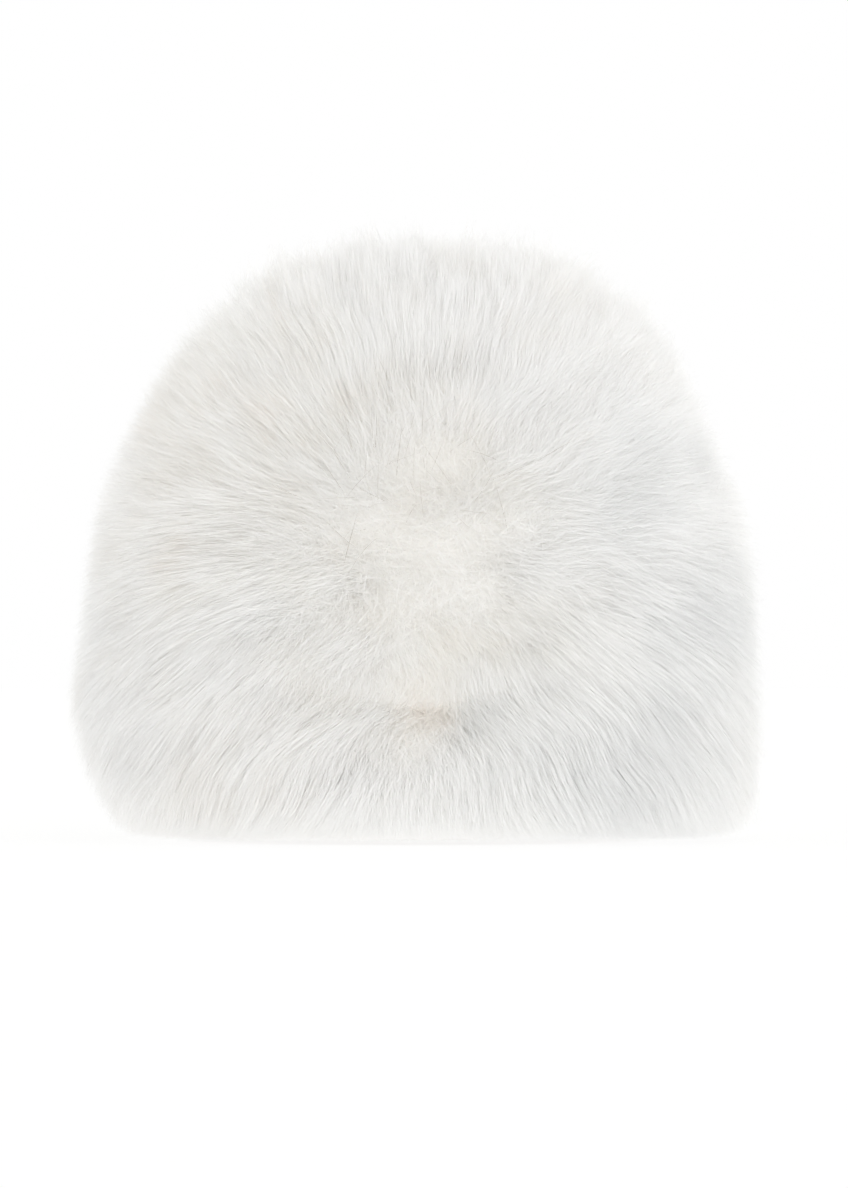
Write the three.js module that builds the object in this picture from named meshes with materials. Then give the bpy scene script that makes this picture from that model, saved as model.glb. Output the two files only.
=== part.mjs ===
// A white deep-fur winter hat at its real size, in millimetres, with +Z up.
// It stands on its rim with the head opening down. The origin is on the floor below the middle of the
// hat, and the front of the hat faces -Y.
//
// The hat is sewn from a crown and a band. Each is a thin pelt, the leather wall, and the deep fur that
// grows from it. The fur of each is one solid of the outer form that the hair tips make, and the fur
// parts along the seam between crown and band.
import * as THREE from "three";

// Driving dimensions
const headBreadth = 170; // inside the hat, ear to ear
const headLength = 192; // inside the hat, forehead to nape
const peltThickness = 2;
const furBreadth = 280; // over the hair tips, ear to ear
const furLength = 300; // over the hair tips, front to back
const seamHeight = 50; // crown and band are sewn together here, measured on the pelt
const seamRise = 5; // the fur parts this much higher at the hair tips than at the pelt
const gap = 0.3; // between two pieces that touch
const stepsAround = 56; // sides of each oval ring
const ringsPerSection = 2; // rings of the fur's outline from one row of its table to the next
const furHeart = new THREE.Vector3(0, 0, 105); // the hair stands away from this point

// The pelt's outer face, from the rim to the top. girth is the share of the widest oval.
const peltSections = [
  { height: 10, girth: 0.985 },
  { height: 30, girth: 0.995 },
  { height: seamHeight, girth: 1 },
  { height: 80, girth: 0.995 },
  { height: 110, girth: 0.965 },
  { height: 135, girth: 0.9 },
  { height: 157, girth: 0.78 },
  { height: 175, girth: 0.62 },
  { height: 188, girth: 0.42 },
  { height: 195, girth: 0.22 },
  { height: 198, girth: 0 },
];

// The outline of the hair tips, from the floor to the top. left and right are the half widths that
// are seen from the front, and the fuller right shoulder is the hat's own.
const furSections = [
  { height: 0, left: 113, right: 124 },
  { height: 10, left: 124, right: 132 },
  { height: 30, left: 134, right: 138 },
  { height: seamHeight + seamRise, left: 140, right: 140 },
  { height: 91, left: 136, right: 139 },
  { height: 128, left: 131, right: 135.5 },
  { height: 152, left: 124, right: 126.5 },
  { height: 177, left: 111.5, right: 115.5 },
  { height: 201, left: 97, right: 104.5 },
  { height: 214, left: 85, right: 96 },
  { height: 226, left: 69.5, right: 80 },
  { height: 237, left: 54, right: 58 },
  { height: 243, left: 33, right: 37 },
  { height: 246, left: 0, right: 0 },
];

// Swellings and hollows of the fur. azimuth turns from the front towards the right side, in degrees,
// reach is how far it spreads, and out is how far the surface moves, inwards where it is negative.
const tufts = [
  { azimuth: 0, height: 57, reach: 26, out: -10 }, // the parting above the band, at the front
  { azimuth: -20, height: 55, reach: 22, out: -5 },
  { azimuth: 19, height: 56, reach: 22, out: -6 },
  { azimuth: 3, height: 24, reach: 24, out: 3 }, // the full tuft of the band below it
  { azimuth: 0, height: 98, reach: 34, out: 4.2 }, // the full front and the full back
  { azimuth: 180, height: 98, reach: 34, out: 3.2 },
  { azimuth: -17, height: 186, reach: 15, out: -4 }, // three clefts across the brow of the crown
  { azimuth: -4, height: 196, reach: 15, out: -5 },
  { azimuth: 17, height: 190, reach: 15, out: -5 },
  { azimuth: -68, height: 163, reach: 24, out: -3 }, // hollows and swellings of the sides
  { azimuth: 68, height: 146, reach: 22, out: -3 },
  { azimuth: 48, height: 116, reach: 24, out: 3 },
  { azimuth: -46, height: 92, reach: 24, out: 3 },
  { azimuth: -52, height: 28, reach: 20, out: -3 },
  { azimuth: 142, height: 120, reach: 26, out: 4 }, // the back
  { azimuth: 215, height: 150, reach: 24, out: -4 },
  { azimuth: 182, height: 56, reach: 26, out: -6 },
  { azimuth: 160, height: 192, reach: 18, out: -4 },
  { azimuth: 228, height: 62, reach: 22, out: 3 },
  { azimuth: 55, height: 243, reach: 18, out: -2 }, // the top
  { azimuth: 250, height: 243, reach: 16, out: -2 },
];

// A point on an oval ring, from its half widths to the left, right and front.
function ringPoint(turn, left, right, front, height) {
  const across = Math.sin(turn);
  const half = across >= 0 ? right : left;
  return new THREE.Vector3(across * half, -Math.cos(turn) * front, height);
}

function ringOf(pointAt) {
  return Array.from({ length: stepsAround }, (_, i) => pointAt((2 * Math.PI * i) / stepsAround));
}

// The pelt's face at one section, moved outwards by offset, or inwards where it is negative. height
// may lie between sections, as it does at the two edges of the seam.
function peltRing(index, offset, height = peltSections[index].height) {
  const { girth } = peltSections[index];
  const before = peltSections[Math.max(index - 1, 0)];
  const after = peltSections[Math.min(index + 1, peltSections.length - 1)];
  const meanHalf = (headBreadth + headLength) / 4 + peltThickness;
  const slope = new THREE.Vector2(after.height - before.height, (before.girth - after.girth) * meanHalf);
  const outward = slope.normalize();
  if (girth === 0) return [new THREE.Vector3(0, 0, height + offset)];
  const breadth = girth * (headBreadth / 2 + peltThickness) + outward.x * offset;
  const length = girth * (headLength / 2 + peltThickness) + outward.x * offset;
  return ringOf((turn) => ringPoint(turn, breadth, breadth, length, height + outward.y * offset));
}

// The fur's outline as rows closer together, on one smooth curve through the table's rows.
const furCurve = new THREE.CatmullRomCurve3(
  furSections.map(({ height, left, right }) => new THREE.Vector3(left, right, height)),
);
const furRows = furCurve
  .getPoints(ringsPerSection * (furSections.length - 1))
  .map(({ x, y, z }) => ({ left: x, right: y, height: z }));

function smoothFurPoint(turn, { left, right }, height) {
  const front = ((left + right) / 2) * (furLength / furBreadth);
  return ringPoint(turn, left, right, front, height);
}

// Where a tuft sits: on the fur's outline at its azimuth and height.
function tuftCentre({ azimuth, height }) {
  const above = furRows.findIndex((row) => row.height > height);
  const [low, high] = [furRows[above - 1], furRows[above]];
  const share = (height - low.height) / (high.height - low.height);
  const left = THREE.MathUtils.lerp(low.left, high.left, share);
  const right = THREE.MathUtils.lerp(low.right, high.right, share);
  return smoothFurPoint(THREE.MathUtils.degToRad(azimuth), { left, right }, height);
}

const placedTufts = tufts.map((tuft) => ({ ...tuft, centre: tuftCentre(tuft) }));

// Moves a point of the fur's outline by the tufts near it, along the hair.
function withTufts(point) {
  const hair = point.clone().sub(furHeart).normalize();
  const move = placedTufts.reduce(
    (sum, { centre, reach, out }) => sum + out * Math.exp(-((point.distanceTo(centre) / reach) ** 2)),
    0,
  );
  return point.clone().addScaledVector(hair, move);
}

// The fur's outline at one row. The bottom ring stays as it is, flat on the floor, and the rings on
// both sides of the seam stay level.
function furRing(index, height) {
  if (index === furTop) return [withTufts(new THREE.Vector3(0, 0, height))];
  return ringOf((turn) => {
    const smooth = smoothFurPoint(turn, furRows[index], height);
    if (index === 0) return smooth;
    const moved = withTufts(smooth);
    return index === furSeam ? moved.setZ(height) : moved;
  });
}

// A closed surface through rings in order, from the last back to the first. A ring of one point is
// where the surface meets the axis, and nothing is drawn between two such rings.
function closedLoft(rings) {
  const positions = rings.flat().flatMap((point) => point.toArray());
  const starts = rings.map((_, i) => rings.slice(0, i).reduce((sum, ring) => sum + ring.length, 0));
  const faces = [];
  rings.forEach((ring, i) => {
    const next = (i + 1) % rings.length;
    const lower = (j) => starts[i] + (j % ring.length);
    const upper = (j) => starts[next] + (j % rings[next].length);
    for (let j = 0; j < stepsAround; j++) {
      if (ring.length > 1) faces.push(lower(j), lower(j + 1), upper(j + 1));
      if (rings[next].length > 1) faces.push(lower(j), upper(j + 1), upper(j));
    }
  });
  const geometry = new THREE.BufferGeometry();
  geometry.setAttribute("position", new THREE.Float32BufferAttribute(positions, 3));
  geometry.setIndex(faces);
  geometry.computeVertexNormals();
  return geometry;
}

const peltSeam = peltSections.findIndex((section) => section.height === seamHeight);
const furSeam = ringsPerSection * furSections.findIndex((row) => row.height === seamHeight + seamRise);
const peltTop = peltSections.length - 1;
const furTop = furRows.length - 1;

// Numbers from first to last, in either direction.
function span(first, last) {
  const step = Math.sign(last - first) || 1;
  return Array.from({ length: Math.abs(last - first) + 1 }, (_, i) => first + i * step);
}

// The rings of the pelt from one section to another. Those at the seam stop half a gap short of it.
function peltRings(first, last, offset, seamShift) {
  return span(first, last).map((i) =>
    peltRing(i, offset, peltSections[i].height + (i === peltSeam ? seamShift : 0)),
  );
}

function furRings(first, last, seamShift) {
  return span(first, last).map((i) => furRing(i, furRows[i].height + (i === furSeam ? seamShift : 0)));
}

function crownPelt() {
  const outside = peltRings(peltSeam, peltTop, 0, gap / 2);
  const inside = peltRings(peltTop, peltSeam, -peltThickness, gap / 2);
  return closedLoft([...outside, ...inside]);
}

function bandPelt() {
  const outside = peltRings(0, peltSeam, 0, -gap / 2);
  const inside = peltRings(peltSeam, 0, -peltThickness, -gap / 2);
  return closedLoft([...outside, ...inside]);
}

function crownFur() {
  const outside = furRings(furSeam, furTop, gap / 2);
  const inside = peltRings(peltTop, peltSeam, gap, gap / 2);
  return closedLoft([...outside, ...inside]);
}

// The band's fur hangs below the pelt's rim and stands on the floor.
function bandFur() {
  const outside = furRings(0, furSeam, -gap / 2);
  const inside = [...peltRings(peltSeam, 0, gap, -gap / 2), peltRing(0, gap, 0)];
  return closedLoft([...outside, ...inside]);
}

const peltLeather = new THREE.MeshStandardMaterial({ color: "#ded5ca", roughness: 0.85, metalness: 0 });
const whiteFur = new THREE.MeshStandardMaterial({ color: "#ecebe6", roughness: 0.95, metalness: 0 });

function named(name, geometry, material) {
  const mesh = new THREE.Mesh(geometry, material);
  mesh.name = name;
  return mesh;
}

const hat = new THREE.Group();
hat.name = "fur_hat";
hat.add(
  named("crown_pelt", crownPelt(), peltLeather),
  named("band_pelt", bandPelt(), peltLeather),
  named("crown_fur", crownFur(), whiteFur),
  named("band_fur", bandFur(), whiteFur),
);

export default hat;
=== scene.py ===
"""A white deep-fur winter hat on a pale floor.

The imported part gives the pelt, the leather wall, and the outline of the hair tips. This script grows the
fur between the two: a soft underfur body for the crown and one for the band, and over them guard hair as
narrow tapering ribbons. The hair gathers in wisps, the wisps in tufts and the tufts in locks. Lengths are
in metres and angles in degrees unless a name says otherwise. Azimuth 0 is the front of the hat, -Y, and
90 its right side, +X.
"""

import math

import bpy
import numpy as np
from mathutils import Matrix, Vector, kdtree
from mathutils.bvhtree import BVHTree


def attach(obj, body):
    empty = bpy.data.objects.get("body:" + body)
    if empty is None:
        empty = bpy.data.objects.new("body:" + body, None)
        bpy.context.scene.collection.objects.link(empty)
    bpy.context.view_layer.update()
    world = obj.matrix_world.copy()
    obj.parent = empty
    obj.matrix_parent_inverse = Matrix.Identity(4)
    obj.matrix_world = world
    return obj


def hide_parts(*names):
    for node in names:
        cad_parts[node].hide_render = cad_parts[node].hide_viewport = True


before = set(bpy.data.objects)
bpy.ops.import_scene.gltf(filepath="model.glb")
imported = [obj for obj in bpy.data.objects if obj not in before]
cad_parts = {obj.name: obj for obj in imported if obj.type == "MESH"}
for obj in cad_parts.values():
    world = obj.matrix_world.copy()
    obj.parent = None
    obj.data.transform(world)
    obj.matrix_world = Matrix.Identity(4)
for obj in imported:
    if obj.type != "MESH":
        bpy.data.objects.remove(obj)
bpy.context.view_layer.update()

MM = 0.001
rng = np.random.default_rng(20)

# The hair stands away from this point, the middle of the hat
HEART = np.array([0.0, 0.0, 0.105])

# Grid of directions from the heart, on which the pelt and the outline of the hair tips are measured
AZIMUTHS = np.arange(0, 360, 1.5)
ELEVATIONS = np.linspace(-49, 90, 140)
AZIMUTH_STEP = AZIMUTHS[1] - AZIMUTHS[0]
ELEVATION_STEP = ELEVATIONS[1] - ELEVATIONS[0]
OUTSIDE = 0.4  # a distance from the heart that is well outside the hat
SMOOTHING = 2.2  # of the measured distances, in steps of the grid, so that the flat facets go

# The pelt's seam and rim and the fur's parting, as elevations seen from the heart
PELT_SEAM = (-29.3, -32.3)  # at the front and back, and at the sides
PELT_RIM = (-43.6, -46.6)
SEAM_ELEVATION = -19.7  # of the tips at the seam between band and crown
PARTING_REACH = 28.0  # degrees of azimuth over which the fur parts there, at the front

# How the hair lies. It parts from the whorl at the front and flows over the hat from there. Each table
# gives how far a root lies behind its tip, in degrees as seen from the heart.
WHORL = np.array([4.0, -148.0, 118.0]) * MM
AWAY = np.array(  # from the whorl, by the angle from it
    [(0, 0), (12, 2.2), (25, 6.5), (45, 10.5), (60, 9.5), (80, 6), (100, 3), (130, 0)]
)
DROOP = np.array([(-45, 10), (-30, 9), (-15, 6), (0, 4), (15, 2), (30, 0)])  # at the sides, by elevation
BACK_DROOP = np.array([(-40, 9), (40, 9), (60, 6), (85, 2)])  # at the back, by elevation
RISE = np.array([(25, 0), (50, 2), (65, 3), (85, 0)])  # upwards over the shoulders, by elevation
DOWN = (0.0, 0.35, -1.0)  # the way that hanging hair takes, a little to the back
UP = (0.0, 0.0, 1.0)
BACK_BLEND = (-10 * MM, 80 * MM)  # y where the lie of the back sets in, and where it is whole
FRONT_BLEND = 35 * MM  # what is drawn on the front fades out this far on both sides of y = 0
WAVES = 7  # waves that add up to a drift of the hair
WAVE_SPREAD = (0.7, 1.6)  # how long the waves are, as shares of the length that is given for them
WHORL_DRIFT = (38 * MM, 7 * MM)  # length and height of the waves that shift the whorl
LIE_DRIFT = (30 * MM, 1.8)  # of those that turn the hair, the height in degrees

# Where the fur is soft and ruffled: where it stands straight out, and at these spots of the front
UPRIGHT_LIE = 6.0  # hair that lies by this many degrees is still a third as soft
SOFT_SPOTS = (
    # x and z in mm, reach in mm, how soft
    (4, 116, 46, 1.0),
    (4, 157, 37, 0.95),
    (0, 32, 24, 1.0),
    (5, 22, 34, 0.55),
    (-45, 62, 34, 0.45),
    (-45, 93, 30, 0.65),
    (-68, 160, 48, 0.35),
    (80, 118, 44, 0.65),
    (72, 165, 55, 0.5),
)
RUFFLE = 7.0  # how much the lie of each hair varies there, in degrees
LOOSE = 0.5  # how much weaker the pull is there
RAGGED = 0.1  # how much more the lengths vary there

# The levels of gathering, from coarse to fine. spacing is from one guide to the next, pull how far the
# tips are drawn to the guides of the level above, wander how far a tip strays along the surface, and
# longer how much its length varies.
LEVELS = (
    # spacing, pull, wander, longer
    (22 * MM, 0.0, 6.0 * MM, 0.035),  # locks
    (7.5 * MM, 0.3, 3.5 * MM, 0.05),  # tufts
    (2.3 * MM, 0.32, 2.2 * MM, 0.05),  # wisps
)
GATHER = 1.7  # power of the share of the length, so that hair gathers towards its tips
TUFTED = np.array([(10, 1.0), (25, 0.9), (45, 1.0), (90, 1.35)])  # how strong the pull is, by elevation
CURL = 1.0  # how much more the hair strays near the whorl
CURL_REACH = 20.0

# The single strands, gathered in the wisps
STRAND_PULL = 0.37
STRAND_PULL_SPREAD = (0.7, 1.1)
MOST_PULL = 0.95
FLYAWAY_SHARE = 0.12  # share of the strands that hardly gather
FLYAWAY_PULL = 0.25  # how much of the pull acts on them
STRAND_WANDER = 2.0 * MM
STRAND_LONGER = 0.02
SHORTER = np.array([(20, 0.24), (50, 0.11), (75, 0.07)])  # share of the length missing at most, by elevation
SHORTER_POWER = 1.4  # so that less is missing from most strands
SPIKY = np.array([(30, 0.0), (60, 1.7)])  # how much of its wisp's extra length it takes on, by elevation
CALMER = 0.65  # how much less of it at the front
CALM_SHIFT = np.array([0.0, 45.0, 0.0]) * MM  # and the front sets in this much further forward for that

# How far the longest hair passes the outline of the CAD solids, as a share of its length, by elevation
REACH = np.array(
    [(-49, 0.12), (-38, 0.12), (-28, 0.06), (-10, 0.035), (10, 0.05), (30, 0.05), (60, -0.02)]
)

# Where the hair is longer than that, or shorter
FULLER = (
    # azimuth, elevation, reach in degrees, change of the share
    (60, 72, 10, 0.015),
    (90, 38, 10, 0.07),
    (90, 14, 14, 0.04),
    (92, -8, 14, 0.04),
    (90, -38, 12, 0.06),
    (270, -41, 12, -0.09),
    (0, -28, 12, -0.04),
    (0, 22, 16, -0.03),
)
FRINGE = (0.5 * MM, 3.0 * MM)  # the lowest tips end between these heights above the floor
LOWEST = 0.6 * MM  # no point of a strand is lower than this above the floor

# The shape of a hair, a cubic curve that rises from the pelt, bends and ends along its lie. Its two bends
# are the curve's inner control points.
LOW_BEND = 0.36  # share of the hair's depth from its root to the lower bend
HIGH_BEND = 0.4  # and from the upper bend to its tip
FLAT = 12.0  # a lie of this many degrees brings the tips down along the surface
FLAT_OUT = 0.6  # share of their way out that the tips lose there
FLAT_ALONG = 0.95  # their way along the surface there
STRAY_TURN = 1.2  # how much a tip turns to the side to which it strays

# The ribbons. shares are the shares of the length at which a hair has its points.
STRANDS = (
    # count, shares, width
    (80_000, (0.42, 0.64, 0.83, 1.0), 0.34 * MM),
    (80_000, (0.5, 0.77, 1.0), 0.28 * MM),
    (270_000, (0.72, 1.0), 0.23 * MM),
)
FRONT_SHARE = 0.35  # how much denser the front is than the sides
WIDTH_SPREAD = (0.6, 1.25)
TAPER = 0.6  # share of its width that a ribbon has at its last pair of corners
TURNED = 0.55  # how much the ribbons turn at random out of the surface
UV_HALF_WIDTH = 0.004  # of a ribbon on its UV map, so that it covers a little of it
UV_EDGES = (0.001, 0.999)  # of what the ribbons may cover across the map

# Tones of the hair, from 0, warm, over 0.5, plain white, to 0.9, grey, and 1, dark. These tint the front and
# paint shade on it.
TINTS_AND_PAINTED_SHADE = (
    # x and z in mm, reach in mm, change of tone
    # the dent where the fur parts: its warm colour darkened as painted shade, and a painted shadow to its
    # right
    (3, 50, 10, -0.33),
    (12, 48, 8, -0.2),
    (-8, 50, 7, -0.16),
    (27, 48, 13, 0.24),
    (20, 77, 11, -0.2),
    (6, 112, 34, -0.07),
    # painted shade in a cleft near the top
    (-28, 183, 10, -0.16),
    (-42, 164, 7, -0.12),
    (-50, 43, 7, -0.1),
    # painted shade, greyer at the right side, the lower right, the bottom and the upper right
    (130, 88, 26, 0.42),
    (102, 22, 38, 0.36),
    (66, 8, 28, 0.16),
    (0, 5, 40, 0.1),
    (104, 148, 34, 0.3),
    (-100, 148, 40, -0.1),
    (-70, 186, 46, -0.13),
)
PLAIN = 0.5
WARMEST = 0.001
DARKEST = 0.9  # of all but the stray strands, which are painted shadow lines
GUIDE_TONE = 0.045  # how much the tone varies from guide to guide, at each level
STRAND_TONE = 0.06  # and from strand to strand

# Clefts in the fur of the front, where the tips stand apart
CLEFTS = (
    # x and z in mm, tilt to the right in degrees, half length and push in mm
    (-3, 192, 4, 7, 1.7),
    (33, 192, -18, 11, 1.5),
    (38, 183, -24, 6, 1.7),
    (-29, 184, -26, 6, 1.5),
    (-60, 70, -62, 9, 1.3),
    (-86, 88, -74, 8, 1.2),
    (78, 66, 58, 9, 1.2),
)
CLEFT_WIDTH = 3.2 * MM
CLEFT_EDGE = 0.3 * CLEFT_WIDTH  # the push turns round over this much on each side of the middle line

# A few long dark strands that stray over the front, above its middle: painted shadow lines of crossing hair
STRAYS = 90
STRAY_X = (2, 26)  # mean and spread, in mm
STRAY_Z = (160, 20)
STRAY_RADII = (140 * MM, 150 * MM)  # about how far the tips there are from the heart, for x and for z
STRAY_WANDER = 6 * MM
STRAY_LONGER = 0.03
STRAY_TALLER = 0.06  # how much longer they are than the other hair
# the dark tone of the painted shadow lines
STRAY_SHADOW_TONE = 0.999
STRAY_SHARES = (0.5, 0.62, 0.74, 0.87, 1.0)
STRAY_WIDTH = 0.2 * MM

# The underfur, a closed body over each pelt
UNDERFUR_DEPTH = 0.64  # share of the way from the pelt to the tips
UNDERFUR_RISE = 0.14  # how much fuller it is in soft fur
UNDERFUR_LOW = -46  # elevation of the tips at the rim
UNDERFUR_TOP = 89.9  # and at the top
UNDERFUR_STEP = 2  # degrees from one row of corners to the next, or a little less
UNDERFUR_ROOTS = np.array(
    # elevation of the tips, elevation of the pelt below them
    [(-46, -46), (SEAM_ELEVATION, -30.5), (10, 10), (90, 90)]
)

# The pieces of the guard hair round the crown
SECTORS = (
    # name, from azimuth, to azimuth
    ("front_left", -75, -15),
    ("front", -15, 15),
    ("front_right", 15, 75),
    ("right", 75, 145),
    ("back", 145, 215),
    ("left", 215, 285),
)
TOP_ELEVATION = 52.0  # the hair above this is one piece

# The studio: white walls, a dimmer ceiling and a soft light at the front right, over a glowing pale floor
WALLS = 1.0
CEILING = 0.8
CEILING_COSINES = (0.12, 0.6)  # of the angle from straight up, where it sets in and where it is whole
KEY = 2.35
KEY_WAY = (0.6, -2.0, 0.8)
KEY_COSINES = (0.8, 1.0)  # of the angle from that way
FLOOR_HALF = 8.0  # half of the floor's side
FLOOR_COLOUR = (0.14, 0.14, 0.14, 1)
FLOOR_GLOW = (1, 1, 0.995, 1)
FLOOR_STRENGTH = 0.88
BOUNCES = 16  # light goes on through white fur for long, and the fur turns grey with fewer

# The camera looks straight at the front, from far away as the photograph's does
CAMERA_DISTANCE = 5.0
CAMERA_AIM = Vector((0.0039, 0.0, 0.1002))
SENSOR = 36.0  # in mm, along the longer side of the picture, its height
VIEW_HEIGHT = 0.4828  # how much of the scene that side shows at the aim


def direction(azimuth, elevation):
    """Unit vectors from the heart."""
    turn, rise = np.radians(azimuth), np.radians(elevation)
    return np.stack([np.sin(turn) * np.cos(rise), -np.cos(turn) * np.cos(rise), np.sin(rise)], axis=-1)


def grid_directions():
    return direction(*np.meshgrid(AZIMUTHS, ELEVATIONS, indexing="ij"))


def unit(vectors):
    return vectors / np.maximum(np.linalg.norm(vectors, axis=-1, keepdims=True), 1e-9)


def along_surface(vectors, normals):
    """The part of each vector that runs along the surface."""
    return vectors - normals * (vectors * normals).sum(axis=-1, keepdims=True)


def soft_step(values):
    """0 below 0, 1 above 1 and a smooth rise between."""
    share = np.clip(values, 0, 1)
    return share * share * (3 - 2 * share)


def table_at(table, values):
    """The table's second column at these values of its first, as a column."""
    return np.interp(values, table[:, 0], table[:, 1])[:, None]


def outermost(names):
    """Distance from the heart to the outermost face of these CAD nodes, over the grid."""
    depsgraph = bpy.context.evaluated_depsgraph_get()
    trees = [BVHTree.FromObject(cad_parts[name], depsgraph) for name in names]
    ways = grid_directions()
    distance = np.full(ways.shape[:2], np.nan)
    for index in np.ndindex(distance.shape):
        way = ways[index]
        start = Vector(HEART + way * OUTSIDE)
        hits = [tree.ray_cast(start, Vector(-way)) for tree in trees]
        depths = [hit[3] for hit in hits if hit[3] is not None and hit[3] < OUTSIDE]
        if depths:
            distance[index] = OUTSIDE - min(depths)
    return distance


def filled(distance):
    """The same grid with its empty low rows taken from the lowest row that is measured."""
    for row in distance:
        known = np.flatnonzero(~np.isnan(row))
        row[: known[0]] = row[known[0]]
    return distance


def smoothed(grid, steps):
    """The grid blurred by a bell curve, round the hat and up it."""
    reach = int(3 * steps)
    bell = np.exp(-0.5 * (np.arange(-reach, reach + 1) / steps) ** 2)
    bell /= bell.sum()
    around = sum(weight * np.roll(grid, k - reach, axis=0) for k, weight in enumerate(bell))
    padded = np.pad(around, ((0, 0), (reach, reach)), mode="edge")
    return sum(weight * padded[:, k : k + grid.shape[1]] for k, weight in enumerate(bell))


class Shell:
    """A closed surface round the heart, read from its distances on the grid."""

    def __init__(self, distance):
        self.points = HEART + grid_directions() * distance[..., None]
        around = np.roll(self.points, -1, axis=0) - np.roll(self.points, 1, axis=0)
        around[:, -1] = around[:, -2]
        upward = np.gradient(self.points, axis=1)
        normal = np.cross(around, upward)
        self.normals = normal / np.linalg.norm(normal, axis=-1, keepdims=True)

    def read(self, grid, azimuth, elevation):
        """Values of the grid between its points."""
        column = (azimuth % 360) / AZIMUTH_STEP
        row = (elevation - ELEVATIONS[0]) / ELEVATION_STEP
        row = np.clip(row, 0, len(ELEVATIONS) - 1.001)  # just below the last row
        i, j = column.astype(int) % len(AZIMUTHS), row.astype(int)
        past_column, past_row = (column - np.floor(column))[:, None], (row - j)[:, None]
        k = (i + 1) % len(AZIMUTHS)
        low = grid[i, j] * (1 - past_column) + grid[k, j] * past_column
        high = grid[i, j + 1] * (1 - past_column) + grid[k, j + 1] * past_column
        return low * (1 - past_row) + high * past_row

    def at(self, azimuth, elevation):
        return self.read(self.points, azimuth, elevation)

    def normal(self, azimuth, elevation):
        between = self.read(self.normals, azimuth, elevation)
        return between / np.linalg.norm(between, axis=1, keepdims=True)

    def cell_areas(self):
        """Area of each cell of the grid, one column fewer than the grid has."""
        here, next_to = self.points, np.roll(self.points, -1, axis=0)
        diagonal_a = next_to[:, 1:] - here[:, :-1]
        diagonal_b = here[:, 1:] - next_to[:, :-1]
        return 0.5 * np.linalg.norm(np.cross(diagonal_a, diagonal_b), axis=-1)


pelt = Shell(smoothed(filled(outermost(["crown_pelt", "band_pelt"])), SMOOTHING))
tips = Shell(smoothed(filled(outermost(["crown_fur", "band_fur"])), SMOOTHING))
tip_areas = tips.cell_areas()


def scatter(count, front_share=0.0):
    """Azimuth and elevation of count places spread evenly over the outline of the tips."""
    weight = tip_areas * (1 + front_share * np.cos(np.radians(AZIMUTHS)))[:, None]
    cumulative = np.cumsum(weight.ravel())
    picked = np.searchsorted(cumulative, rng.random(count) * cumulative[-1])
    i, j = np.unravel_index(picked, weight.shape)
    azimuth = AZIMUTHS[i] + rng.random(count) * AZIMUTH_STEP
    elevation = ELEVATIONS[j] + rng.random(count) * ELEVATION_STEP
    return azimuth, elevation


def in_front(places):
    """1 on the front half of the hat, 0 on the back half, and a smooth change over its sides."""
    return 1 - soft_step((places[:, 1] + FRONT_BLEND) / (2 * FRONT_BLEND))


def near_spot(places, x, z, reach):
    """1 at this spot of the front, by its x and z in mm, and a smooth fall to 0 away from it."""
    spread = np.hypot(places[:, 0] - x * MM, places[:, 2] - z * MM) / (reach * MM)
    return np.exp(-(spread**2)) * in_front(places)


def whorl_angle(places):
    """Angle from the whorl, as seen from the heart."""
    toward = unit(WHORL - HEART)
    return np.degrees(np.arccos(np.clip(unit(places - HEART) @ toward, -1, 1)))


def parted_by_clefts(places):
    """How far the tips at these places stand aside from the clefts."""
    move = np.zeros_like(places)
    for x, z, tilt, half_length, push in CLEFTS:
        turn = math.radians(tilt)
        across = np.array([math.cos(turn), 0, -math.sin(turn)])
        along = np.array([math.sin(turn), 0, math.cos(turn)])
        offset = places - np.array([x * MM, 0, z * MM])
        aside, ahead = offset @ across, offset @ along
        share = np.exp(-((aside / CLEFT_WIDTH) ** 2) - (ahead / (half_length * MM)) ** 2)
        share *= np.tanh(aside / CLEFT_EDGE) * in_front(places)
        move += (share * push * MM)[:, None] * across
    return move


class Drift:
    """A smooth random vector for each place: waves in random directions added up."""

    def __init__(self, length, height):
        ways = unit(rng.normal(size=(WAVES, 3)))
        self.turns = ways * 2 * np.pi / (length * rng.uniform(*WAVE_SPREAD, (WAVES, 1)))
        self.phases = rng.uniform(0, 2 * np.pi, WAVES)
        self.heights = rng.normal(0, height / math.sqrt(WAVES), (WAVES, 3))

    def at(self, places):
        return np.sin(places @ self.turns.T + self.phases) @ self.heights


whorl_drift = Drift(*WHORL_DRIFT)
lie_drift = Drift(*LIE_DRIFT)


def lie_of_hair(places, normals, elevation):
    """How the hair lies: along the surface, as long as its root lies behind its tip, in degrees."""
    start, whole = BACK_BLEND
    back = soft_step((places[:, 1] - start) / (whole - start))[:, None]
    side = np.abs(unit(places - HEART)[:, 0])[:, None]
    from_whorl = places - WHORL + whorl_drift.at(places)
    away = unit(along_surface(from_whorl, normals)) * table_at(AWAY, whorl_angle(places))
    down = along_surface(np.broadcast_to(DOWN, places.shape), normals)
    up = along_surface(np.broadcast_to(UP, places.shape), normals)
    droop = table_at(DROOP, elevation) * side + table_at(BACK_DROOP, elevation) * back
    rise = table_at(RISE, elevation) * (1 - back)
    return away + down * droop + up * rise + along_surface(lie_drift.at(places), normals)


def softness(places, lie):
    """1 where the fur is soft and ruffled, down to 0 where it lies in clear locks."""
    soft = np.exp(-((np.linalg.norm(lie, axis=1) / UPRIGHT_LIE) ** 2))
    for x, z, reach, share in SOFT_SPOTS:
        soft = np.maximum(soft, share * near_spot(places, x, z, reach))
    return soft[:, None]


def fuller(azimuth, elevation):
    """How much longer the hair is here than REACH says."""
    way = direction(azimuth, elevation)
    longer = np.zeros(len(azimuth))
    for at_azimuth, at_elevation, reach, change in FULLER:
        angle = np.degrees(np.arccos(np.clip(way @ direction(at_azimuth, at_elevation), -1, 1)))
        longer += change * np.exp(-((angle / reach) ** 2))
    return longer


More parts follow.
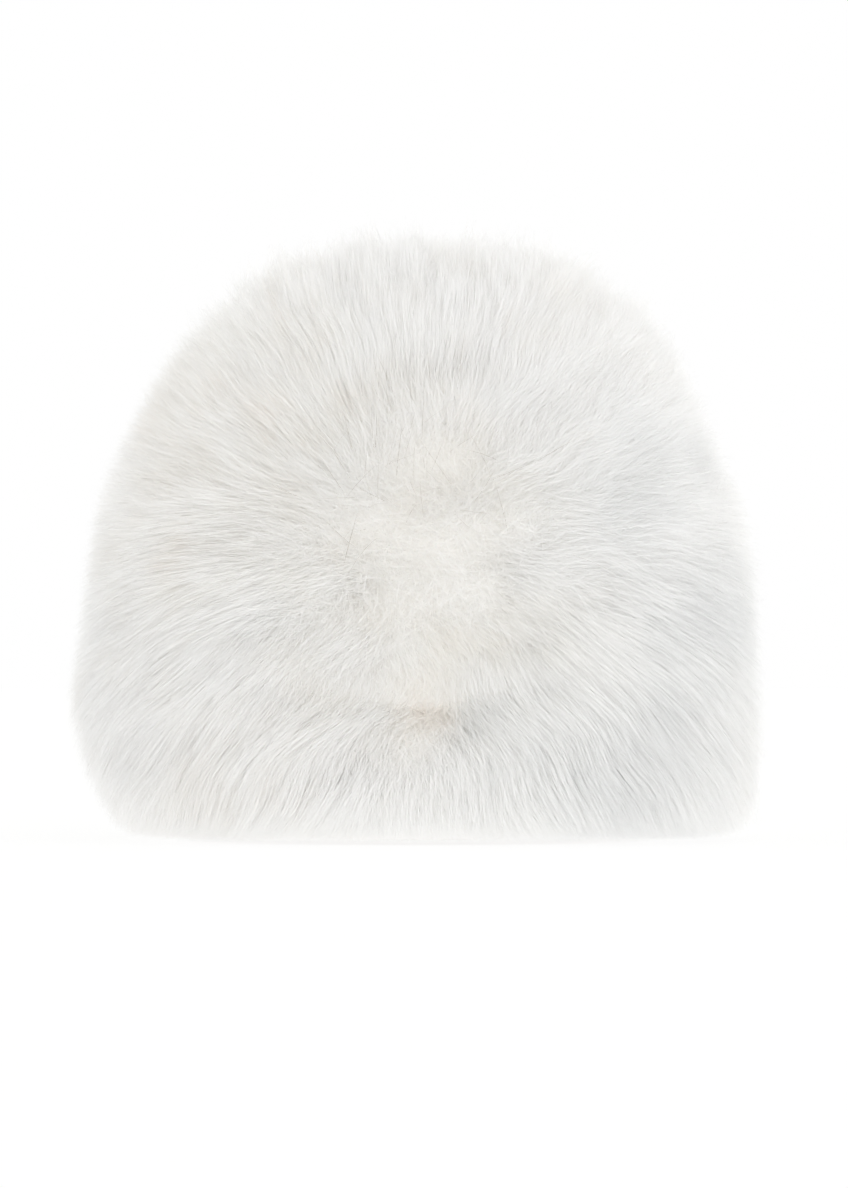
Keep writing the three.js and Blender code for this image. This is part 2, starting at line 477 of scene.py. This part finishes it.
def root_places(places, lie, azimuth, elevation):
    """Azimuth and elevation on the pelt of the roots of these tips. Each root is on its own pelt."""
    way = unit(unit(places - HEART) - np.radians(lie))
    root_azimuth = np.degrees(np.arctan2(way[:, 0], -way[:, 1]))
    root_elevation = np.degrees(np.arcsin(way[:, 2]))
    sideways = np.abs(np.sin(np.radians(root_azimuth)))
    seam = PELT_SEAM[0] + (PELT_SEAM[1] - PELT_SEAM[0]) * sideways
    rim = PELT_RIM[0] + (PELT_RIM[1] - PELT_RIM[0]) * sideways
    parted = np.exp(-(((azimuth + 180) % 360 - 180) / PARTING_REACH) ** 2)
    below = (elevation < SEAM_ELEVATION) & (root_elevation > seam)
    root_elevation = np.where(below, root_elevation + (seam - root_elevation) * parted, root_elevation)
    return root_azimuth, np.maximum(root_elevation, rim)


class Hair:
    """Control points of many hairs: root, two bends and tip.

    wander is how far the tips stray, longer how much the lengths vary, shorter a table of the share of
    the length that may be missing, and taller what is added to the lengths.
    """

    def __init__(self, azimuth, elevation, wander, longer, shorter=None, taller=0.0):
        count = len(azimuth)
        self.azimuth = azimuth
        self.elevation = elevation
        self.place = tips.at(azimuth, elevation)
        self.normal = tips.normal(azimuth, elevation)
        lie = lie_of_hair(self.place, self.normal, elevation)
        self.soft = softness(self.place, lie)
        lie += along_surface(rng.normal(0, RUFFLE, (count, 3)), self.normal) * self.soft
        root_azimuth, root_elevation = root_places(self.place, lie, azimuth, elevation)
        self.root = pelt.at(root_azimuth, root_elevation)
        curl = 1 + CURL * np.exp(-((whorl_angle(self.place) / CURL_REACH) ** 2))[:, None]
        stray = along_surface(rng.normal(0, wander, (count, 3)), self.normal) * curl
        stray += parted_by_clefts(self.place)
        self.longer = rng.normal(0, longer, count)
        length = 1 + table_at(REACH, elevation)[:, 0] + fuller(azimuth, elevation) + self.longer + taller
        if shorter is not None:
            most = table_at(shorter, elevation)[:, 0] * (1 + RAGGED * self.soft[:, 0])
            length -= most * rng.random(count) ** SHORTER_POWER
        self.tip = self.root + (self.place + stray - self.root) * length[:, None]
        self.tip[:, 2] = np.maximum(self.tip[:, 2], rng.uniform(*FRINGE, count))
        self.bend(pelt.normal(root_azimuth, root_elevation), lie, stray)

    def bend(self, out, lie, stray):
        """Places the two bends, so that each hair rises along out and ends along its lie."""
        depth = np.linalg.norm(self.tip - self.root, axis=1, keepdims=True)
        flat = np.clip(np.linalg.norm(lie, axis=1, keepdims=True) / FLAT, 0, 1)
        heading = self.normal * (1 - FLAT_OUT * flat) + unit(lie) * flat * FLAT_ALONG
        heading = unit(heading + stray / depth * STRAY_TURN)
        self.low = self.root + out * depth * LOW_BEND
        self.high = self.tip - heading * depth * HIGH_BEND

    def points(self, shares):
        """The points of each hair at these shares of its length."""
        share = np.array(shares)[None, :, None]
        rest = 1 - share
        from_low = 3 * share * rest**2 * self.low[:, None]
        from_high = 3 * share**2 * rest * self.high[:, None]
        return rest**3 * self.root[:, None] + from_low + from_high + share**3 * self.tip[:, None]


def nearest(places, guide_places):
    """Index of the guide nearest each place."""
    tree = kdtree.KDTree(len(guide_places))
    for index, place in enumerate(guide_places):
        tree.insert(place, index)
    tree.balance()
    return np.array([tree.find(place)[1] for place in places])


def gathered(points, guide_points, pull, shares):
    """The points drawn towards those of their guides, more so towards the tips."""
    draw = pull * np.array(shares)[None, :, None] ** GATHER
    return points + draw * (guide_points - points)


def pull_there(hair, pull):
    """The pull on each hair, by its elevation and by how soft the fur is."""
    return pull * table_at(TUFTED, hair.elevation) * (1 - LOOSE * hair.soft)


guides = []
for spacing, pull, wander, longer in LEVELS:
    guide_count = int(tip_areas.sum() / spacing**2)
    hair = Hair(*scatter(guide_count), wander, longer)
    owner = nearest(hair.place, guides[-1]["hair"].place) if guides else None
    tone = rng.normal(0, GUIDE_TONE, guide_count)
    if guides:
        tone += guides[-1]["tone"][owner]
    guides.append({"hair": hair, "owner": owner, "pull": pull, "tone": tone})


def guide_curves(shares):
    """The points of the wisps at these shares of their length, after all the gathering."""
    points = guides[0]["hair"].points(shares)
    for level in guides[1:]:
        own = level["hair"].points(shares)
        pull = pull_there(level["hair"], level["pull"])[..., None]
        points = gathered(own, points[level["owner"]], pull, shares)
    return points


def tone_with_painted_shade(places):
    """Tone of the hair at these places, with the painted shade of the table of tones."""
    tone = np.full(len(places), PLAIN)
    for x, z, reach, change in TINTS_AND_PAINTED_SHADE:
        tone += change * near_spot(places, x, z, reach)
    return tone


def grow(count, shares):
    """Many strands, each with its tone, and their points."""
    azimuth, elevation = scatter(count, FRONT_SHARE)
    places = tips.at(azimuth, elevation)
    wisps, tufts = guides[-1]["hair"], guides[-2]["hair"]
    wisp = nearest(places, wisps.place)
    tuft = guides[-1]["owner"][wisp]
    taller = (wisps.longer[wisp] + tufts.longer[tuft]) * table_at(SPIKY, elevation)[:, 0]
    taller *= 1 - CALMER * in_front(places + CALM_SHIFT)
    hair = Hair(azimuth, elevation, STRAND_WANDER, STRAND_LONGER, SHORTER, taller)
    loose = np.where(rng.random(count) < FLYAWAY_SHARE, FLYAWAY_PULL, 1.0)
    loose *= rng.uniform(*STRAND_PULL_SPREAD, count)
    pull = np.clip(pull_there(hair, STRAND_PULL * loose[:, None]), 0, MOST_PULL)[..., None]
    points = gathered(hair.points(shares), guide_curves(shares)[wisp], pull, shares)
    points[..., 2] = np.maximum(points[..., 2], LOWEST)
    tone = tone_with_painted_shade(hair.place) + guides[-1]["tone"][wisp] + rng.normal(0, STRAND_TONE, count)
    hair.tone = np.clip(tone, WARMEST, DARKEST)
    return hair, points


def ribbon_corners(points, normals, width):
    """The corners of tapering ribbons: a pair at each point and one at the tip."""
    count, steps = points.shape[:2]
    along = np.gradient(points, axis=1)
    along /= np.linalg.norm(along, axis=2, keepdims=True)
    facing = normals[:, None] + rng.normal(0, TURNED, (count, 1, 3))
    across = np.cross(along, facing)
    across /= np.linalg.norm(across, axis=2, keepdims=True)
    taper = np.linspace(1.0, TAPER, steps - 1)[None, :, None]
    half = 0.5 * width * rng.uniform(*WIDTH_SPREAD, count)[:, None, None]
    corners = np.empty((count, 2 * steps - 1, 3))
    corners[:, 0:-1:2] = points[:, :-1] - across[:, :-1] * half * taper
    corners[:, 1:-1:2] = points[:, :-1] + across[:, :-1] * half * taper
    corners[:, -1] = points[:, -1]
    return corners


def ribbon_mesh(name, points, normals, tones, shares, width):
    """One mesh of ribbons. Their tone runs across the UV map and the way from root to tip up it."""
    count, steps = points.shape[:2]
    corners = ribbon_corners(points, normals, width)
    corner_count = 2 * steps - 1
    quads = [(2 * k, 2 * k + 1, 2 * k + 3, 2 * k + 2) for k in range(steps - 2)]
    last = (2 * steps - 4, 2 * steps - 3, 2 * steps - 2)
    pattern = np.array([corner for quad in quads for corner in quad] + list(last))
    loops = (np.arange(count)[:, None] * corner_count + pattern[None]).ravel()
    totals = np.tile(np.array([4] * len(quads) + [3]), count)
    starts = np.concatenate([[0], np.cumsum(totals)[:-1]])
    mesh = bpy.data.meshes.new(name)
    mesh.vertices.add(count * corner_count)
    mesh.vertices.foreach_set("co", corners.ravel())
    mesh.loops.add(len(loops))
    mesh.loops.foreach_set("vertex_index", loops)
    mesh.polygons.add(len(totals))
    mesh.polygons.foreach_set("loop_start", starts)
    mesh.polygons.foreach_set("loop_total", totals)
    mesh.update(calc_edges=True)
    mesh.polygons.foreach_set("use_smooth", np.ones(len(totals), bool))
    share = np.ones(corner_count)
    share[0:-1:2] = shares[:-1]
    share[1:-1:2] = shares[:-1]
    side = np.zeros(corner_count)
    side[0:-1:2] = -1
    side[1:-1:2] = 1
    u = np.clip(tones[:, None] + side[pattern][None] * UV_HALF_WIDTH, *UV_EDGES)
    v = np.broadcast_to(share[pattern][None], u.shape)
    layer = mesh.uv_layers.new(name="OFBake")
    layer.data.foreach_set("uv", np.stack([u, v], axis=-1).ravel())
    return mesh


def join_meshes(name, meshes):
    """One mesh from several."""
    objects = [bpy.data.objects.new(name, mesh) for mesh in meshes]
    for each in objects:
        bpy.context.scene.collection.objects.link(each)
    with bpy.context.temp_override(active_object=objects[0], selected_editable_objects=objects):
        bpy.ops.object.join()
    joined = objects[0]
    mesh = joined.data
    bpy.data.objects.remove(joined)
    mesh.name = name
    return mesh


def underfur_mesh(name, low, high):
    """A closed body between the pelt and the hair tips, from one elevation of the tips to another."""
    rows = np.linspace(low, high, 2 + int((high - low) / UNDERFUR_STEP))
    azimuth, elevation = np.meshgrid(AZIMUTHS[::2], rows, indexing="ij")
    shape = azimuth.shape
    azimuth, elevation = azimuth.ravel(), elevation.ravel()
    root = pelt.at(azimuth, table_at(UNDERFUR_ROOTS, elevation)[:, 0])
    place = tips.at(azimuth, elevation)
    soft = softness(place, lie_of_hair(place, tips.normal(azimuth, elevation), elevation))
    outer = (root + (place - root) * (UNDERFUR_DEPTH + UNDERFUR_RISE * soft)).reshape(*shape, 3)
    inner = root.reshape(*shape, 3)
    rings = np.concatenate([outer, inner[:, ::-1]], axis=1)
    count, height = rings.shape[:2]
    faces = []
    for i in range(count):
        here, beside = i * height, (i + 1) % count * height
        for j in range(height):
            above = (j + 1) % height
            faces.append((here + j, beside + j, beside + above, here + above))
    mesh = bpy.data.meshes.new(name)
    mesh.from_pydata(rings.reshape(-1, 3).tolist(), [], faces)
    mesh.update()
    mesh.polygons.foreach_set("use_smooth", [True] * len(mesh.polygons))
    return mesh


def add_piece(mesh, material):
    """A piece of the fur, made from this mesh."""
    piece = bpy.data.objects.new(mesh.name, mesh)
    bpy.context.scene.collection.objects.link(piece)
    mesh.materials.append(material)
    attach(piece, "root")
    return piece


def new_material(name):
    material = bpy.data.materials.new(name)
    material.use_nodes = True
    return material, material.node_tree.nodes, material.node_tree.links


def colour_ramp(nodes, stops):
    """A ramp through these colours, each given after its position."""
    ramp = nodes.new("ShaderNodeValToRGB")
    elements = ramp.color_ramp.elements
    while len(elements) < len(stops):
        elements.new(0.5)
    for element, (position, colour) in zip(elements, stops):
        element.position = position
        element.color = (*colour, 1)
    return ramp


def guard_hair_material():
    """White hair, a little brighter towards its tip, and tinted by its tone, which also carries painted
    shade.
    """
    material, nodes, links = new_material("guard_hair")
    shader = nodes["Principled BSDF"]
    place = nodes.new("ShaderNodeUVMap")
    place.uv_map = "OFBake"
    split = nodes.new("ShaderNodeSeparateXYZ")
    links.new(place.outputs["UV"], split.inputs["Vector"])
    length = colour_ramp(nodes, ((0.4, (0.957, 0.949, 0.935)), (0.8, (0.976, 0.973, 0.966))))
    links.new(split.outputs["Y"], length.inputs["Fac"])
    tone = colour_ramp(
        nodes,
        (
            (0.0, (0.93, 0.87, 0.83)),
            (0.3, (0.972, 0.967, 0.952)),
            (0.5, (1.0, 1.0, 1.0)),
            (0.75, (0.978, 0.981, 0.983)),
            # grey, reached mostly through the painted shade of the table of tones
            (0.93, (0.905, 0.91, 0.915)),
            # dark, for the painted shadow lines of the stray strands
            (1.0, (0.50, 0.46, 0.42)),
        ),
    )
    links.new(split.outputs["X"], tone.inputs["Fac"])
    tinted = nodes.new("ShaderNodeMix")
    tinted.data_type = "RGBA"
    tinted.blend_type = "MULTIPLY"
    tinted.inputs["Factor"].default_value = 1
    links.new(length.outputs["Color"], tinted.inputs["A"])
    links.new(tone.outputs["Color"], tinted.inputs["B"])
    links.new(tinted.outputs["Result"], shader.inputs["Base Color"])
    shader.inputs["Roughness"].default_value = 0.6
    shader.inputs["Specular IOR Level"].default_value = 0.3
    return material


def mottled_material(name, scale, detail, darker, lighter):
    """A matt material whose colour varies between two over a noise of this scale and detail."""
    material, nodes, links = new_material(name)
    shader = nodes["Principled BSDF"]
    coordinates = nodes.new("ShaderNodeTexCoord")
    noise = nodes.new("ShaderNodeTexNoise")
    noise.inputs["Scale"].default_value = scale
    noise.inputs["Detail"].default_value = detail
    colours = colour_ramp(nodes, ((0.3, darker), (0.7, lighter)))
    links.new(coordinates.outputs["Object"], noise.inputs["Vector"])
    links.new(noise.outputs["Fac"], colours.inputs["Fac"])
    links.new(colours.outputs["Color"], shader.inputs["Base Color"])
    shader.inputs["Roughness"].default_value = 0.9
    return material


def sector_of(hair):
    """Name of the piece that each hair belongs to."""
    names = np.full(len(hair.azimuth), "crown_fur_top", dtype=object)
    low = hair.elevation < TOP_ELEVATION
    for name, start, end in SECTORS:
        inside = (hair.azimuth - start) % 360 < end - start
        names[inside & low] = "crown_fur_" + name
    band = hair.elevation < SEAM_ELEVATION
    front = np.abs((hair.azimuth + 180) % 360 - 180) < 90
    names[band & front] = "band_fur_front"
    names[band & ~front] = "band_fur_back"
    return names


# The guard hair
guard_hair = guard_hair_material()
grown = []
for count, shares, width in STRANDS:
    hair, points = grow(count, shares)
    grown.append((hair, points, sector_of(hair), shares, width))

for name in sorted({name for _, _, sectors, _, _ in grown for name in set(sectors)}):
    meshes = []
    for hair, points, sectors, shares, width in grown:
        mine = sectors == name
        meshes.append(ribbon_mesh(name, points[mine], hair.normal[mine], hair.tone[mine], shares, width))
    add_piece(join_meshes(name, meshes), guard_hair)

# The stray dark strands, painted shadow lines
stray_x = rng.normal(*STRAY_X, STRAYS) * MM
stray_z = rng.normal(*STRAY_Z, STRAYS) * MM
stray_azimuth = np.degrees(np.arcsin(stray_x / STRAY_RADII[0]))
stray_elevation = np.degrees(np.arcsin((stray_z - HEART[2]) / STRAY_RADII[1]))
strays = Hair(stray_azimuth, stray_elevation, STRAY_WANDER, STRAY_LONGER, taller=STRAY_TALLER)
stray_points = strays.points(STRAY_SHARES)
stray_shadow_tones = np.full(STRAYS, STRAY_SHADOW_TONE)
stray_mesh = ribbon_mesh(
    "stray_shadow_strands", stray_points, strays.normal, stray_shadow_tones, STRAY_SHARES, STRAY_WIDTH
)
add_piece(stray_mesh, guard_hair)

# The underfur
underfur = mottled_material("underfur", 400, 2, (0.93, 0.915, 0.895), (0.96, 0.952, 0.937))
crown_underfur = add_piece(underfur_mesh("crown_underfur", SEAM_ELEVATION, UNDERFUR_TOP), underfur)
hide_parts("crown_fur")
band_underfur = add_piece(underfur_mesh("band_underfur", UNDERFUR_LOW, SEAM_ELEVATION), underfur)
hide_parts("band_fur")

# The skin side of the pelt
suede = mottled_material("pelt_suede", 60, 8, (0.56, 0.47, 0.38), (0.68, 0.6, 0.5))
for name in ("crown_pelt", "band_pelt"):
    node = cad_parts[name]
    node.data.materials.clear()
    node.data.materials.append(suede)

# The floor
floor_mesh = bpy.data.meshes.new("floor")
floor_corners = [(x * FLOOR_HALF, y * FLOOR_HALF, 0) for x, y in ((-1, -1), (1, -1), (1, 1), (-1, 1))]
floor_mesh.from_pydata(floor_corners, [], [(0, 1, 2, 3)])
floor = bpy.data.objects.new("floor", floor_mesh)
bpy.context.scene.collection.objects.link(floor)
floor_material, floor_nodes, _ = new_material("floor")
floor_shader = floor_nodes["Principled BSDF"]
floor_shader.inputs["Base Color"].default_value = FLOOR_COLOUR
floor_shader.inputs["Specular IOR Level"].default_value = 0.0
floor_shader.inputs["Emission Color"].default_value = FLOOR_GLOW
floor_shader.inputs["Emission Strength"].default_value = FLOOR_STRENGTH
floor_mesh.materials.append(floor_material)

# The light, which comes from the world and the floor
world = bpy.data.worlds.new("studio")
bpy.context.scene.world = world
world.use_nodes = True
world_nodes = world.node_tree.nodes
world_links = world.node_tree.links
background = world_nodes["Background"]
background.inputs["Color"].default_value = (1, 1, 1, 1)
way = world_nodes.new("ShaderNodeTexCoord")


def glow(toward, cosines, strength):
    """Strength that rises smoothly from that of the walls as the way into the world nears this one."""
    cosine = world_nodes.new("ShaderNodeVectorMath")
    cosine.operation = "DOT_PRODUCT"
    cosine.inputs[1].default_value = Vector(toward).normalized()
    world_links.new(way.outputs["Generated"], cosine.inputs[0])
    rise = world_nodes.new("ShaderNodeMapRange")
    rise.interpolation_type = "SMOOTHSTEP"
    rise.inputs["From Min"].default_value = cosines[0]
    rise.inputs["From Max"].default_value = cosines[1]
    rise.inputs["To Min"].default_value = WALLS
    rise.inputs["To Max"].default_value = strength
    world_links.new(cosine.outputs["Value"], rise.inputs["Value"])
    return rise.outputs["Result"]


light = world_nodes.new("ShaderNodeMath")
light.operation = "MULTIPLY"
world_links.new(glow(UP, CEILING_COSINES, CEILING), light.inputs[0])
world_links.new(glow(KEY_WAY, KEY_COSINES, KEY), light.inputs[1])
world_links.new(light.outputs["Value"], background.inputs["Strength"])

# Each ray goes on until it meets the world or the floor, so that neither needs sampling by itself
world.cycles.sampling_method = "NONE"
floor_material.cycles.emission_sampling = "NONE"
bpy.context.scene.cycles.diffuse_bounces = BOUNCES
bpy.context.scene.cycles.max_bounces = BOUNCES
bpy.context.scene.view_settings.view_transform = "Standard"

# The camera
camera_data = bpy.data.cameras.new("camera")
camera_data.sensor_width = SENSOR
camera_data.lens = SENSOR * CAMERA_DISTANCE / VIEW_HEIGHT
camera_data.clip_end = 100
camera = bpy.data.objects.new("camera", camera_data)
camera.location = CAMERA_AIM - Vector((0, CAMERA_DISTANCE, 0))
camera.rotation_euler = (math.pi / 2, 0, 0)
bpy.context.scene.collection.objects.link(camera)
bpy.context.scene.camera = camera
